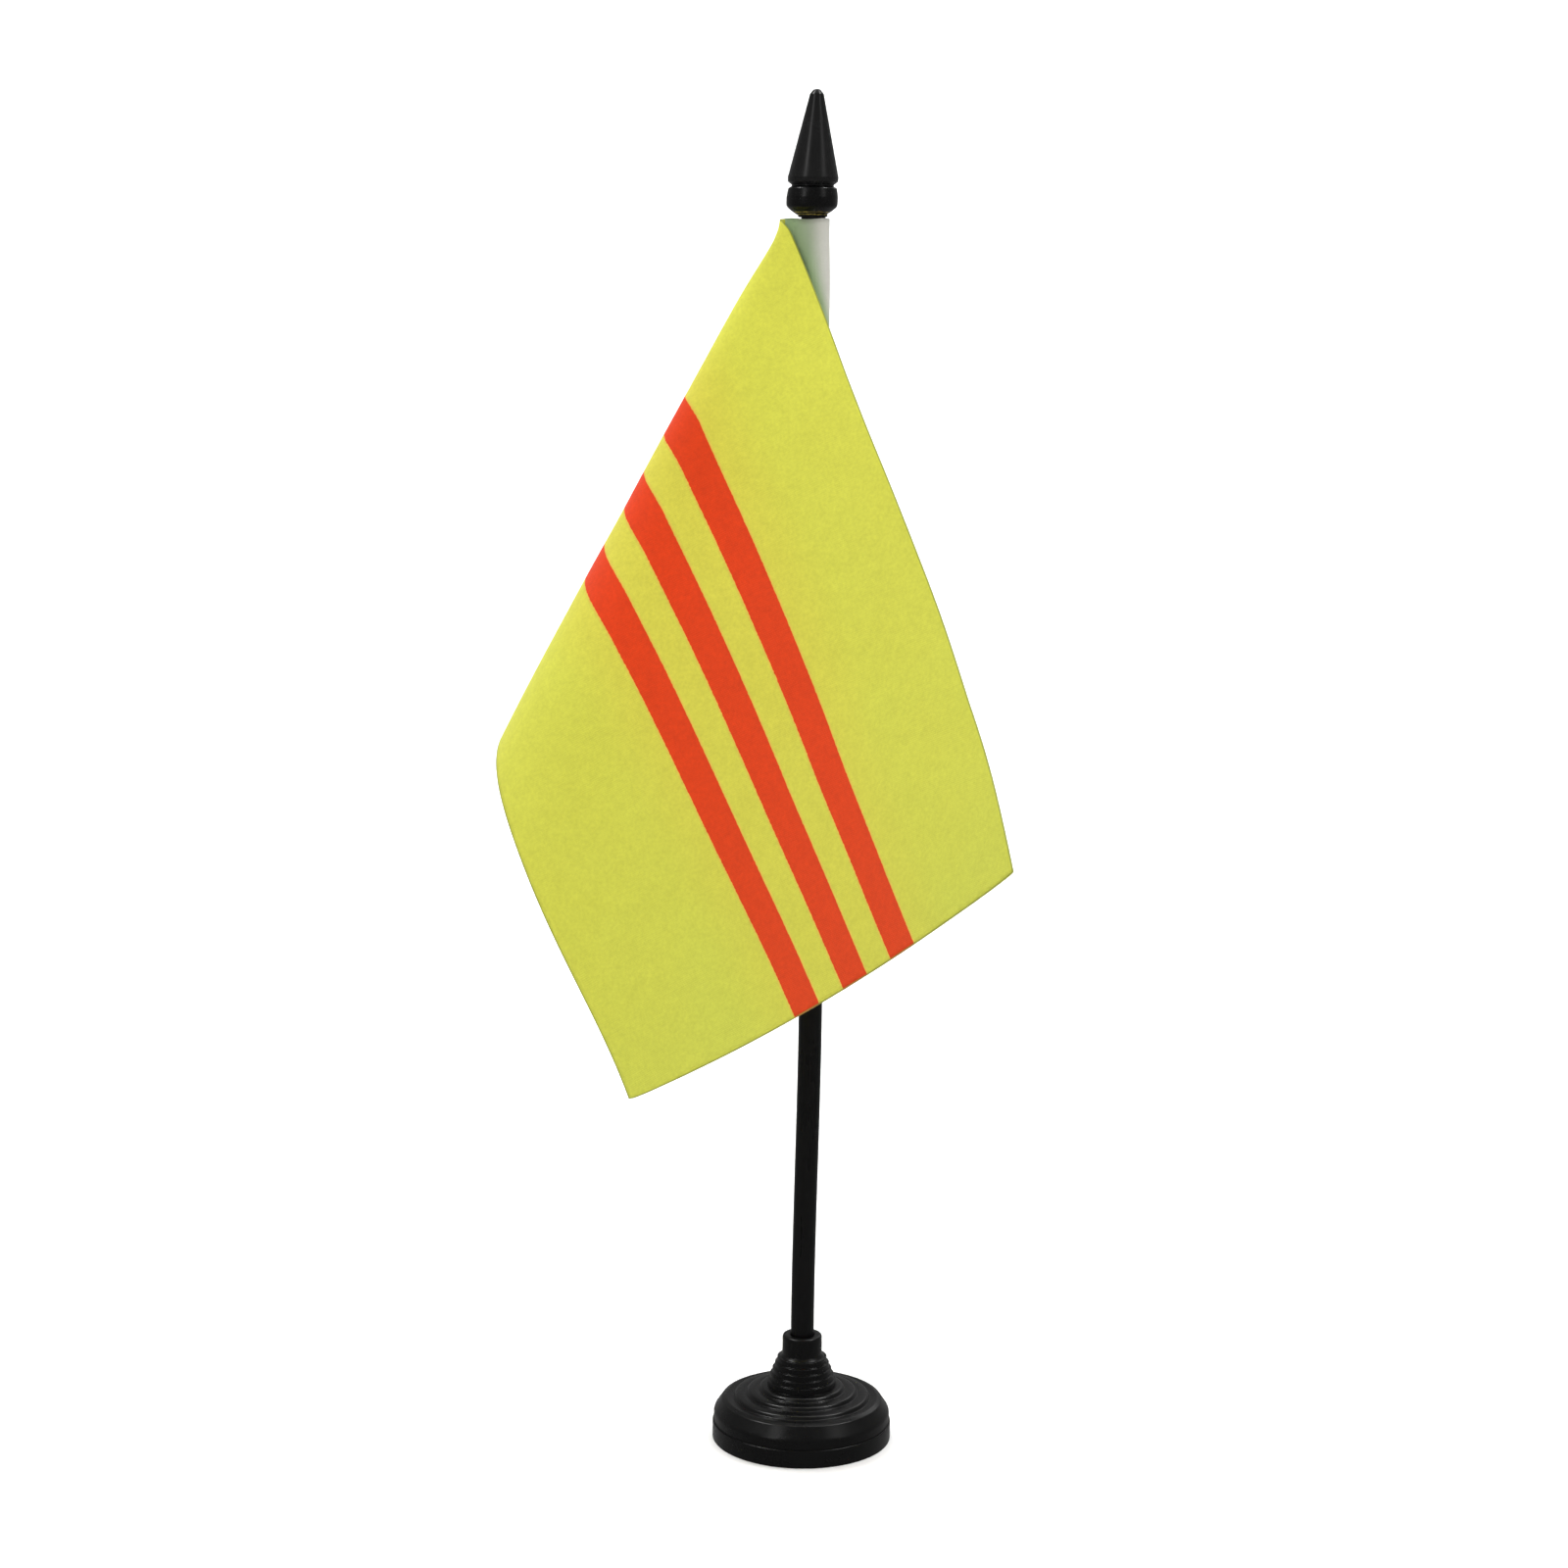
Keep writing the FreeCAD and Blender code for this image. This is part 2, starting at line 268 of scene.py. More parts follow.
def new_material(name):
    material = bpy.data.materials.new(name)
    material.use_nodes = True
    tree = material.node_tree
    shader = tree.nodes["Principled BSDF"]
    return material, tree, shader


def node(tree, kind, **settings):
    made = tree.nodes.new(kind)
    for key, value in settings.items():
        setattr(made, key, value)
    return made


def put(tree, value, socket):
    """Connect an output, or set a plain value, on a socket."""
    if isinstance(value, bpy.types.NodeSocket):
        tree.links.new(value, socket)
    else:
        socket.default_value = value


def math_node(tree, operation, a, b=0.0, c=None):
    made = node(tree, "ShaderNodeMath", operation=operation)
    put(tree, a, made.inputs[0])
    put(tree, b, made.inputs[1])
    if c is not None:
        put(tree, c, made.inputs[2])
    return made.outputs[0]


def noise(tree, vector, scale, detail=3.0, roughness=0.5):
    made = node(tree, "ShaderNodeTexNoise")
    put(tree, vector, made.inputs["Vector"])
    made.inputs["Scale"].default_value = scale
    made.inputs["Detail"].default_value = detail
    made.inputs["Roughness"].default_value = roughness
    return made.outputs["Fac"]


def remap(tree, value, from_low, from_high, to_low, to_high, smooth=False):
    made = node(tree, "ShaderNodeMapRange")
    if smooth:
        made.interpolation_type = "SMOOTHSTEP"
    put(tree, value, made.inputs["Value"])
    made.inputs["From Min"].default_value = from_low
    made.inputs["From Max"].default_value = from_high
    made.inputs["To Min"].default_value = to_low
    made.inputs["To Max"].default_value = to_high
    return made.outputs["Result"]


def mix_colour(tree, factor, a, b, blend="MIX"):
    made = node(tree, "ShaderNodeMix", data_type="RGBA", blend_type=blend)
    put(tree, factor, made.inputs["Factor"])
    put(tree, a, made.inputs[6])
    put(tree, b, made.inputs[7])
    return made.outputs[2]


def bump(tree, height, strength, distance, normal=None):
    made = node(tree, "ShaderNodeBump")
    made.inputs["Strength"].default_value = strength
    made.inputs["Distance"].default_value = distance
    put(tree, height, made.inputs["Height"])
    if normal is not None:
        put(tree, normal, made.inputs["Normal"])
    return made.outputs["Normal"]


def product(tree, first, *others):
    for other in others:
        first = math_node(tree, "MULTIPLY", first, other)
    return first


def object_place(tree):
    return node(tree, "ShaderNodeTexCoord").outputs["Object"]


def parts_of(tree, vector):
    """The X, Y and Z outputs of a vector."""
    split = node(tree, "ShaderNodeSeparateXYZ")
    put(tree, vector, split.inputs["Vector"])
    return split.outputs


def shaded(tree, colour, level):
    """The colour times a grey level."""
    grey = node(tree, "ShaderNodeCombineColor")
    for channel in ("Red", "Green", "Blue"):
        put(tree, level, grey.inputs[channel])
    return mix_colour(tree, 1.0, colour, grey.outputs["Color"], "MULTIPLY")


def srgb(r, g, b):
    """A linear colour from 0-255 display values."""
    made = []
    for value in (r, g, b):
        c = value / 255.0
        made.append(c / 12.92 if c <= 0.04045 else ((c + 0.055) / 1.055) ** 2.4)
    return (*made, 1.0)


# ---------------------------------------------------------------- materials

def black_plastic(name, dark, light, gloss, rough=0.22, streak_along_z=False):
    """Satin moulded plastic: fine grain, patches of polish, faint rub marks and paler worn edges."""
    material, tree, shader = new_material(name)
    place = object_place(tree)
    if streak_along_z:
        squeeze = node(tree, "ShaderNodeMapping")
        squeeze.inputs["Scale"].default_value = (1.0, 1.0, 0.06)
        put(tree, place, squeeze.inputs["Vector"])
        marks = noise(tree, squeeze.outputs["Vector"], 900.0, 4.0, 0.6)
    else:
        marks = noise(tree, place, 420.0, 4.0, 0.6)
    patches = noise(tree, place, 90.0, 3.0, 0.55)
    fine = noise(tree, place, 2600.0, 2.0, 0.5)
    pointed = node(tree, "ShaderNodeNewGeometry").outputs["Pointiness"]
    edges = remap(tree, pointed, 0.52, 0.62, 0.0, 1.0, smooth=True)
    worn = product(tree, edges, remap(tree, marks, 0.4, 0.7, 0.2, 0.8))
    body = mix_colour(tree, patches, srgb(dark, dark, dark), srgb(light, light, light))
    put(tree, mix_colour(tree, worn, body, srgb(34, 34, 33)), shader.inputs["Base Color"])

    polish = remap(tree, patches, 0.3, 0.7, rough, rough + 0.08)
    rubbed = math_node(tree, "ADD", polish, remap(tree, marks, 0.3, 0.8, 0.0, 0.08))
    dulled = math_node(tree, "ADD", rubbed, product(tree, worn, 0.12))
    put(tree, dulled, shader.inputs["Roughness"])
    ripple = bump(tree, patches, 0.10, 0.0002)
    put(tree, bump(tree, fine, 0.16, 0.00002, ripple), shader.inputs["Normal"])
    shader.inputs["Specular IOR Level"].default_value = gloss
    return material


def spear_plastic():
    """The finial's bead is painted darker than its cone as painted shade, and the lip below has traces of old
    gold paint.
    """
    material = black_plastic("black_spear", dark=18, light=24, gloss=0.14, rough=0.18)
    tree = material.node_tree
    shader = tree.nodes["Principled BSDF"]
    plain = shader.inputs["Base Color"].links[0].from_socket
    place = object_place(tree)
    below = math_node(tree, "SUBTRACT", TOTAL_HEIGHT * MM, parts_of(tree, place)["Z"])
    # Painted shade: the bead is painted darker, standing in for the dark surroundings it reflects.
    bead = remap(tree, below, BEAD_SHADE_START * MM, BEAD_SHADE_FULL * MM, 0.0, 0.85, smooth=True)
    plain = mix_colour(tree, bead, plain, srgb(5, 5, 5))
    traces = 0.0
    for depth in GOLD_LINES:
        off = math_node(tree, "ABSOLUTE", math_node(tree, "SUBTRACT", below, depth * MM))
        line = remap(tree, off, 0.05 * MM, 0.14 * MM, 1.0, 0.0, smooth=True)
        traces = math_node(tree, "MAXIMUM", traces, line)
    chipped = remap(tree, noise(tree, place, 900.0, 3.0, 0.6), 0.42, 0.58, 0.15, 0.8)
    gold = mix_colour(tree, product(tree, traces, chipped), plain, srgb(122, 108, 52))
    put(tree, gold, shader.inputs["Base Color"])
    return material


def ballast_steel():
    material, tree, shader = new_material("ballast_steel")
    place = object_place(tree)
    spots = noise(tree, place, 260.0, 5.0, 0.65)
    fine = noise(tree, place, 2600.0, 2.0, 0.5)
    zinc = mix_colour(tree, spots, srgb(120, 122, 124), srgb(168, 168, 166))
    put(tree, zinc, shader.inputs["Base Color"])
    put(tree, remap(tree, spots, 0.3, 0.7, 0.35, 0.55), shader.inputs["Roughness"])
    put(tree, bump(tree, fine, 0.2, 0.00003), shader.inputs["Normal"])
    shader.inputs["Metallic"].default_value = 1.0
    return material


def cloth_millimetres(tree):
    """The cloth's own coordinates in millimetres, along the fly and down the hoist."""
    flat = parts_of(tree, node(tree, "ShaderNodeUVMap", uv_map="cloth").outputs["UV"])
    return product(tree, flat["X"], FLY), product(tree, flat["Y"], HOIST)


def weave_height(tree, along, down, pitch):
    """Plain weave: warp and weft threads of the given pitch that pass over and under each other."""
    turn = math.pi / pitch
    warp = math_node(tree, "SINE", product(tree, along, turn))
    weft = math_node(tree, "SINE", product(tree, down, turn))
    over = product(tree, warp, weft)
    threads = math_node(tree, "ADD", math_node(tree, "ABSOLUTE", warp), math_node(tree, "ABSOLUTE", weft))
    return math_node(tree, "MULTIPLY_ADD", over, 0.5, threads)


def across_print(tree, along, down):
    """Where a point of the cloth lies across the print, -1 to 1 from its upper edge to its lower edge."""
    from_centre = math_node(tree, "SUBTRACT", along, PRINT_CENTRE)
    beyond = math_node(tree, "MAXIMUM", math_node(tree, "SUBTRACT", along, PRINT_BEND_START), 0.0)
    bent = product(tree, beyond, beyond)
    turn = math_node(tree, "ARCTAN2", along, math_node(tree, "ADD", down, APEX_RISE))
    dropped = remap(tree, turn, *PRINT_FOLD_ANGLES, PRINT_FOLD_DROP, 0.0, smooth=True)
    middle = math_node(tree, "MULTIPLY_ADD", from_centre, PRINT_SKEW, PRINT_MIDDLE)
    middle = math_node(tree, "ADD", math_node(tree, "MULTIPLY_ADD", bent, PRINT_BEND, middle), dropped)
    half = math_node(tree, "MULTIPLY_ADD", from_centre, PRINT_TAPER, PRINT_HALF)
    half = math_node(tree, "MULTIPLY_ADD", bent, PRINT_SPREAD, half)
    return math_node(tree, "DIVIDE", math_node(tree, "SUBTRACT", down, middle), half)


def fused_edge(tree, along, down):
    """1 on the cloth's hot-cut free edges, 0 a third of a millimetre inside them."""
    to_edge = math_node(tree, "MINIMUM", math_node(tree, "SUBTRACT", FLY, along), down)
    to_edge = math_node(tree, "MINIMUM", to_edge, math_node(tree, "SUBTRACT", HOIST, down))
    return remap(tree, to_edge, 0.12, 0.34, 1.0, 0.0, smooth=True)


def flag_fabric():
    material, tree, shader = new_material("flag_fabric")
    along, down = cloth_millimetres(tree)
    place = object_place(tree)
    cloud = noise(tree, place, 28.0, 3.0, 0.5)
    grain = noise(tree, place, 1500.0, 3.0, 0.6)
    fibre = noise(tree, place, 4200.0, 2.0, 0.5)
    mottle = noise(tree, place, 420.0, 4.0, 0.6)

    # Distance to the nearest stripe's centre line, in units of the print's half width, a little uneven.
    rough_edge = remap(tree, grain, 0.3, 0.7, -0.004, 0.004)
    size = math_node(tree, "ABSOLUTE", math_node(tree, "ADD", across_print(tree, along, down), rough_edge))
    outer = math_node(tree, "ABSOLUTE", math_node(tree, "SUBTRACT", size, STRIPE_CENTRE))
    nearest = math_node(tree, "MINIMUM", size, outer)
    stripe = remap(tree, nearest, STRIPE_EDGE - STRIPE_BLUR, STRIPE_EDGE + STRIPE_BLUR, 1.0, 0.0, smooth=True)
    halo = remap(tree, nearest, STRIPE_EDGE + STRIPE_BLUR, STRIPE_HALO_END, 1.0, 0.0, smooth=True)

    # Both colours grow darker along the fly, and the yellow is a little warmer near the stripes.
    toward_fly_end = remap(tree, along, 20.0, FLY, 0.0, 1.0)
    yellow = mix_colour(tree, toward_fly_end, srgb(217, 217, 78), srgb(193, 197, 74))
    yellow = mix_colour(tree, remap(tree, cloud, 0.35, 0.65, 0.0, 0.35), yellow, srgb(201, 199, 69))
    yellow = mix_colour(tree, product(tree, halo, 0.45), yellow, srgb(226, 168, 80))
    near_print = remap(tree, size, 0.9, 1.8, 0.2, 0.0, smooth=True)
    warm = product(tree, near_print, remap(tree, toward_fly_end, 0.0, 1.0, 1.0, 0.4))
    yellow = mix_colour(tree, warm, yellow, srgb(224, 176, 62))
    red = mix_colour(tree, toward_fly_end, srgb(230, 59, 3), srgb(207, 62, 14))
    red = mix_colour(tree, remap(tree, cloud, 0.35, 0.65, 0.0, 0.5), red, srgb(211, 60, 9))
    colour = mix_colour(tree, stripe, yellow, red)

    threads = weave_height(tree, along, down, FLAG_THREAD_PITCH)
    # Painted shade: the hollows between the threads are painted darker.
    weave_shade = remap(tree, threads, *WEAVE_SPAN, 0.955, 1.02)
    by_grain = remap(tree, grain, 0.3, 0.7, 0.93, 1.05)
    by_mottle = remap(tree, mottle, 0.35, 0.65, 0.97, 1.025)
    colour = shaded(tree, colour, product(tree, weave_shade, by_grain, by_mottle))
    fused = fused_edge(tree, along, down)
    colour = mix_colour(tree, product(tree, fused, 0.72), colour, srgb(120, 128, 52))
    put(tree, colour, shader.inputs["Base Color"])

    rough = remap(tree, threads, *WEAVE_SPAN, 0.92, 0.78)
    rough = math_node(tree, "SUBTRACT", rough, product(tree, fused, 0.3))
    put(tree, rough, shader.inputs["Roughness"])
    soft = bump(tree, cloud, 0.12, 0.0006)
    lint = bump(tree, fibre, 0.25, 0.00003, soft)
    put(tree, bump(tree, threads, 0.45, 0.00005, lint), shader.inputs["Normal"])
    shader.inputs["Specular IOR Level"].default_value = 0.2
    shader.inputs["Sheen Weight"].default_value = 0.03
    shader.inputs["Sheen Roughness"].default_value = 0.5
    return material


def sleeve_fabric():
    """Off-white cloth with painted shade: its left front is painted greyer, and a green-grey painted shadow
    and reflection lies beside the yellow cloth's edge.
    """
    material, tree, shader = new_material("sleeve_fabric")
    along, down = cloth_millimetres(tree)
    place = object_place(tree)
    at = parts_of(tree, place)
    cloud = noise(tree, place, 60.0, 3.0, 0.5)
    grain = noise(tree, place, 1800.0, 3.0, 0.6)
    front = remap(tree, at["Y"], -0.6 * MM, 0.6 * MM, 1.0, 0.0, smooth=True)
    # Painted shade: the sleeve's left front is painted greyer.
    left = remap(tree, at["X"], -1.8 * MM, 2.2 * MM, 0.85, 0.0, smooth=True)
    white = mix_colour(tree, cloud, srgb(190, 189, 180), srgb(199, 198, 188))
    white = mix_colour(tree, product(tree, left, front), white, srgb(158, 159, 146))

    # The painted shadow is widest at the top and fades out further down.
    below_top = math_node(tree, "SUBTRACT", HOIST_TOP * MM, at["Z"])
    cloth_edge = math_node(tree, "MULTIPLY_ADD", below_top, PAINTED_SHADE_SLOPE, -PAINTED_SHADE_START * MM)
    from_edge = math_node(tree, "SUBTRACT", at["X"], cloth_edge)
    width = remap(tree, below_top, 0.0, PAINTED_SHADE_TAPER_END * MM, PAINTED_SHADE_WIDTH * MM, PAINTED_SHADE_NARROWEST * MM)
    share = math_node(tree, "DIVIDE", from_edge, width)
    beside = remap(tree, share, 0.05, 1.0, 1.0, 0.0, smooth=True)
    upper = remap(tree, below_top, PAINTED_SHADE_FADE_START * MM, PAINTED_SHADE_FADE_END * MM, 1.0, 0.0, smooth=True)
    patchy = remap(tree, cloud, 0.3, 0.7, 0.7, 0.9)
    # Painted shadow and painted green reflection beside the cloth's edge, on the sleeve's front only.
    white = mix_colour(tree, product(tree, beside, upper, patchy, front), white, srgb(134, 162, 110))

    threads = weave_height(tree, along, down, SLEEVE_THREAD_PITCH)
    # Painted shade: the hollows between the threads are painted darker.
    weave_shade = remap(tree, threads, *WEAVE_SPAN, 0.94, 1.02)
    by_grain = remap(tree, grain, 0.3, 0.7, 0.97, 1.02)
    put(tree, shaded(tree, white, product(tree, weave_shade, by_grain)), shader.inputs["Base Color"])
    put(tree, remap(tree, threads, *WEAVE_SPAN, 0.95, 0.8), shader.inputs["Roughness"])
    soft = bump(tree, cloud, 0.15, 0.0003)
    put(tree, bump(tree, threads, 0.5, 0.00006, soft), shader.inputs["Normal"])
    shader.inputs["Specular IOR Level"].default_value = 0.2
    shader.inputs["Sheen Weight"].default_value = 0.1
    shader.inputs["Sheen Roughness"].default_value = 0.5
    return material


def thread_material():
    material, tree, shader = new_material("thread")
    slant = node(tree, "ShaderNodeMapping")
    slant.inputs["Rotation"].default_value = (0.0, 0.9, 0.4)
    put(tree, object_place(tree), slant.inputs["Vector"])
    wave = node(tree, "ShaderNodeTexWave")
    wave.inputs["Scale"].default_value = 1800.0
    wave.inputs["Distortion"].default_value = 1.5
    put(tree, slant.outputs["Vector"], wave.inputs["Vector"])
    twist = wave.outputs["Fac"]
    cotton = mix_colour(tree, twist, srgb(178, 176, 164), srgb(226, 224, 214))
    put(tree, cotton, shader.inputs["Base Color"])
    put(tree, remap(tree, twist, 0.0, 1.0, 0.75, 0.5), shader.inputs["Roughness"])
    put(tree, bump(tree, twist, 0.5, 0.00004), shader.inputs["Normal"])
    shader.inputs["Sheen Weight"].default_value = 0.15
    return material


def backdrop_paper():
    material, tree, shader = new_material("backdrop_paper")
    place = object_place(tree)
    tone = noise(tree, place, 6.0, 2.0, 0.5)
    paper = mix_colour(tree, tone, srgb(250, 250, 250), srgb(252, 252, 252))
    put(tree, paper, shader.inputs["Base Color"])
    put(tree, bump(tree, noise(tree, place, 1200.0), 0.05, 0.00002), shader.inputs["Normal"])
    shader.inputs["Roughness"].default_value = 0.9
    shader.inputs["Specular IOR Level"].default_value = 0.1
    return material


# ---------------------------------------------------------------- the cloth's drape

def heading(angle):
    return Vector((math.cos(math.radians(angle)), math.sin(math.radians(angle)), 0.0))


def fold_path(steps=720):
    """Rulings of the cone from the hoist to just past the fold: cloth angles, rulings, cross directions."""
    radius = math.radians(FOLD_RADIUS)
    start = math.radians(BACK_ANGLE)
    end = start + math.radians(FOLD_TURN) * math.sin(radius)
    step = (end + RUN_OUT) / steps
    ruling = Vector((0.0, 0.0, -1.0))
    along = heading(LEAVING)
    angles, rulings, crosses = [0.0], [ruling.copy()], [along.copy()]
    for i in range(steps):
        angle = (i + 0.5) * step
        rise = 1 / (1 + math.exp((start - angle) / FOLD_EASING))
        fall = 1 / (1 + math.exp((angle - end) / FOLD_EASING))
        curvature = -rise * fall / math.tan(radius)
        if angle < start:
            curvature += BACK_CURVATURE
        axis = ruling.cross(along) + ruling * curvature
        turn = Matrix.Rotation(step * axis.length, 3, axis)
        ruling, along = turn @ ruling, turn @ along
        angles.append((i + 1) * step)
        rulings.append(ruling.copy())
        crosses.append(along.copy())
    return np.array(angles), np.array(rulings), np.array(crosses)


def ease(x, low, high):
    """0 below low, 1 above high and a smooth rise between."""
    t = np.clip((x - low) / (high - low), 0.0, 1.0)
    return t * t * (3 - 2 * t)


def drape(u, v):
    """Points and normals of the hanging cloth, in millimetres, for cloth coordinates u and v."""
    angles, rulings, crosses = fold_path()
    apex = np.array(heading(TAB_HEADING)) * HOIST_REACH + np.array((0.0, 0.0, HOIST_TOP + APEX_RISE))
    reach = np.hypot(u, v + APEX_RISE)
    angle = np.arctan2(u, v + APEX_RISE)
    ruling = np.stack([np.interp(angle, angles, rulings[:, k]) for k in range(3)], -1)
    ruling /= np.linalg.norm(ruling, axis=-1, keepdims=True)
    cross = np.stack([np.interp(angle, angles, crosses[:, k]) for k in range(3)], -1)
    cone = ruling * reach[..., None]
    cone_normal = np.cross(ruling, cross)

    # Past the fold the rulings stay parallel and the cloth bends gently across them.
    last, first_cross = rulings[-1], crosses[-1]
    side = np.cross(last, first_cross)
    offsets = np.linspace(0.0, FLY, FRONT_STATIONS)
    bends = FRONT_CURVATURE * offsets + FRONT_CHANGE * offsets ** 2 / 2
    width = offsets[1] - offsets[0]
    run = np.concatenate([[0.0], np.cumsum((np.cos(bends[1:]) + np.cos(bends[:-1])) / 2 * width)])
    rise = np.concatenate([[0.0], np.cumsum((np.sin(bends[1:]) + np.sin(bends[:-1])) / 2 * width)])
    offset = np.maximum(reach * np.sin(angle - angles[-1]), 0.0)
    bend = FRONT_CURVATURE * offset + FRONT_CHANGE * offset ** 2 / 2
    front = last * (reach * np.cos(angle - angles[-1]))[..., None]
    front = front + first_cross * np.interp(offset, offsets, run)[..., None]
    front = front + side * np.interp(offset, offsets, rise)[..., None]
    front_normal = side * np.cos(bend)[..., None] - first_cross * np.sin(bend)[..., None]

    past = (angle > angles[-1])[..., None]
    points = apex + np.where(past, front, cone)
    normals = np.where(past, front_normal, cone_normal)
    normals /= np.linalg.norm(normals, axis=-1, keepdims=True)

    # In the sleeve's tab the cloth lies flat, towards the pole.
    tab = np.array(heading(TAB_HEADING))
    inside = u < 0
    flat = apex + tab * u[..., None] - np.array((0.0, 0.0, 1.0)) * (v + APEX_RISE)[..., None]
    points = np.where(inside[..., None], flat, points)
    normals = np.where(inside[..., None], np.cross((0.0, 0.0, -1.0), tab), normals)
    return points, normals


def uneven(u, v):
    """Gentle unevenness along the cloth's normal: long waves, and small puckers beside the seam."""
    long_waves = 0.22 * np.sin(u / 23.0 + v / 17.0 + 0.6) + 0.16 * np.sin(u / 11.0 - v / 26.0 + 2.1)
    short_waves = 0.05 * np.sin(u / 5.3 + 0.8 * np.sin(v / 9.0)) * np.sin(v / 6.1 + 1.7)
    puckers = 0.10 * np.sin(v / 1.9 + 0.7 * np.sin(v / 7.0)) * np.exp(-np.maximum(u, 0.0) / 5.0)
    settled = ease(u, 0.5, 18.0)
    return settled * (long_waves + short_waves) + ease(u, 0.0, 1.5) * puckers


def spaced(stops):
    """Coordinates from (end, spacing) pairs, finer where the cloth bends tightly."""
    made = [stops[0][0]]
    for (start, _), (end, gap) in zip(stops, stops[1:]):
        count = max(1, round((end - start) / gap))
        made += [start + (end - start) * (i + 1) / count for i in range(count)]
    return np.array(made)


def thick_sheet(name, points, normals, across, down, thickness):
    """A closed cloth on a grid of points in millimetres, with the cloth's own coordinates as its UV map."""
    rows, columns = points.shape[:2]
    total = rows * columns
    index = np.arange(total).reshape(rows, columns)
    upper = (points + normals * thickness / 2).reshape(-1, 3)
    lower = (points - normals * thickness / 2).reshape(-1, 3)
    a, b, c, d = index[:-1, :-1], index[1:, :-1], index[1:, 1:], index[:-1, 1:]
    top = np.stack([a, b, c, d], -1).reshape(-1, 4)
    bottom = top[:, ::-1] + total
    border = np.concatenate([index[0, :-1], index[:-1, -1], index[-1, :0:-1], index[:0:-1, 0]])
    after = np.roll(border, -1)
    rim = np.stack([border, after, after + total, border + total], -1)
    faces = np.concatenate([top, bottom, rim])
    made = new_object(name, np.concatenate([upper, lower]) * MM, faces.tolist())
    mesh = made.data
    corner = np.empty(len(mesh.loops), dtype=np.int32)
    mesh.loops.foreach_get("vertex_index", corner)
    corner %= total
    place = np.stack([across.reshape(-1)[corner] / FLY, down.reshape(-1)[corner] / HOIST], -1)
    mesh.uv_layers.new(name="cloth").data.foreach_set("uv", place.astype(np.float32).reshape(-1))
    return made


def hang(flat_u, flat_v):
    """Where the cut cloth's own coordinates end up, with its slightly full and drawn-in edges."""
    s, t = flat_u / FLY, flat_v / HOIST
    grows = np.clip(s, 0.0, 1.0) ** 3
    u = flat_u + grows * FLY_EDGE_BOW * np.sin(math.pi * t) ** FLY_BOW_FULLNESS
    lower = np.clip((flat_u - LOWER_BOW_START) / (FLY - LOWER_BOW_START), 0.0, 1.0)
    v = flat_v + t ** 3 * LOWER_EDGE_BOW * np.sin(math.pi * lower) ** 2
    slack = np.sin(math.pi * np.clip(s / UPPER_EDGE_TURN, 0.0, 1.0)) ** 0.6
    full = np.sin(math.pi * np.clip((s - UPPER_EDGE_TURN) / (1 - UPPER_EDGE_TURN), 0.0, 1.0))
    v = v + (1 - t) ** 3 * (UPPER_EDGE_IN * slack - UPPER_EDGE_OUT * full)
    points, normals = drape(u, v)
    points = points + normals * uneven(u, v)[..., None]
    reach = np.hypot(u, v)
    drawn = ease(u, 0.3, 3.0) * (1 - ease(reach, TOP_DRAWN_NEAR, TOP_DRAWN_FAR))
    points[..., 0] += TOP_DRAWN_IN * drawn
    # The folded-over top edge stands a little further out than the fold would leave it.
    stand = ease(u, TOP_EDGE_START, TOP_EDGE_FULL) * (1 - ease(u, TOP_EDGE_FULL, TOP_EDGE_END))
    stand = stand * np.exp(-(v / TOP_EDGE_DEPTH) ** 2)
    points = points + np.array(TOP_EDGE_OUT) * stand[..., None]
    points[..., 2] += TOP_LIFT * np.exp(-(reach / TOP_LIFT_REACH) ** 2)
    return points, normals


def make_cloth():
    across = spaced([(-TURN_IN, 0), (0, 0.4), (6, 0.3), (22, 0.6), (FLY, 1.0)])
    down = spaced([(0, 0), (6, 0.4), (22, 0.7), (HOIST, 1.0)])
    flat_u, flat_v = np.meshgrid(across, down, indexing="ij")
    points, normals = hang(flat_u, flat_v)
    return thick_sheet("cloth", points, normals, flat_u, flat_v, CLOTH_THICKNESS)


def sleeve_line():
    """The sleeve's folded strip in plan: the way along it, and points outwards along the tab and sideways."""
    ring = SLEEVE_INNER + SLEEVE_THICKNESS / 2
    layer = (TAB_SLOT + SLEEVE_THICKNESS) / 2
    corners = [(HOIST_REACH, layer), (HOIST_REACH - TAB_LENGTH, layer)]
    for i in range(SLEEVE_ARC_STEPS + 1):
        angle = math.radians(SLEEVE_WRAP + i * (360 - 2 * SLEEVE_WRAP) / SLEEVE_ARC_STEPS)
        corners.append((ring * math.cos(angle), ring * math.sin(angle)))
    corners += [(HOIST_REACH - TAB_LENGTH, -layer), (HOIST_REACH, -layer)]
    corners = np.array(corners)
    gaps = np.concatenate([[0.0], np.cumsum(np.linalg.norm(np.diff(corners, axis=0), axis=1))])
    stations = np.linspace(0.0, gaps[-1], int(gaps[-1] / SLEEVE_SPACING) + 1)
    line = np.stack([np.interp(stations, gaps, corners[:, k]) for k in (0, 1)], -1)
    for _ in range(SLEEVE_SMOOTHINGS):
        line[1:-1] = (line[:-2] + 2 * line[1:-1] + line[2:]) / 4
    return stations, line


